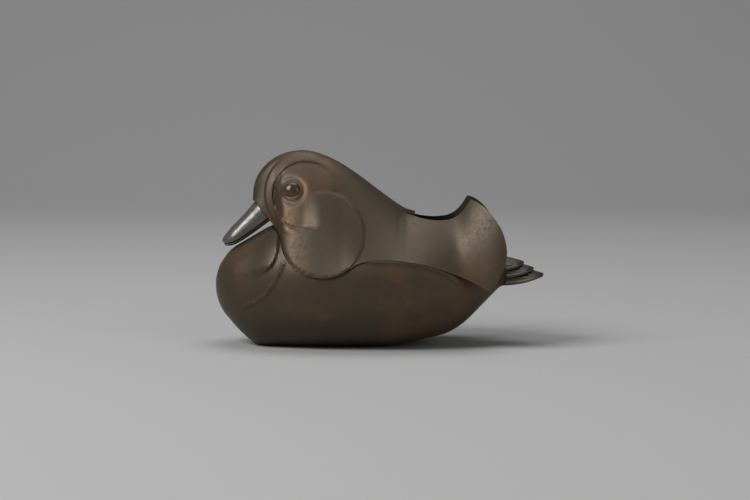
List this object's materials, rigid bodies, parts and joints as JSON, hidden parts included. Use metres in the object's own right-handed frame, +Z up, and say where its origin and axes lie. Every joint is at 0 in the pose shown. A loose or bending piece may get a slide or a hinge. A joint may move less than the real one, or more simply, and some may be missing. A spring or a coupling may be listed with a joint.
{
  "type": "duck-shaped incense burner",
  "caption": "Bronze incense burner in the form of a resting mandarin duck: an open bowl with a loose ash pan under a lift-off cover of head and wings that lets smoke out of the back",
  "frame": {"origin": "on the table under the middle of the duck's length", "axes": "+X from bill to tail, +Y towards the duck's right side, +Z up"},
  "size_m": [0.2004, 0.102, 0.1183],
  "materials": {
    "bronze": "dark olive-brown patina, softly polished",
    "dark_metal": "smooth dark grey-black patina",
    "eye_bronze": "polished dark bronze",
    "tail_bronze": "grey-brown patina",
    "pan_bronze": "matt heat-dulled bronze"
  },
  "bodies": {
    "bowl": {"lower_body": "bronze", "tail": "tail_bronze"},
    "lid": {"cover": "bronze", "upper_bill": "dark_metal", "lower_bill": "dark_metal", "crest": "bronze", "left_eye": "eye_bronze", "right_eye": "eye_bronze"},
    "pan": {"ash_pan": "pan_bronze"}
  },
  "joints": [
    {"name": "cover_lift", "type": "slide", "parent": "bowl", "child": "lid", "axis": [0, 0, 1], "range_m": [0, 0.12]},
    {"name": "pan_lift", "type": "slide", "parent": "bowl", "child": "pan", "axis": [0, 0, 1], "range_m": [0, 0.06]}
  ],
  "couplings": [
    {"joint": "pan_lift", "follows": "cover_lift", "ratio": 0.5}
  ]
}
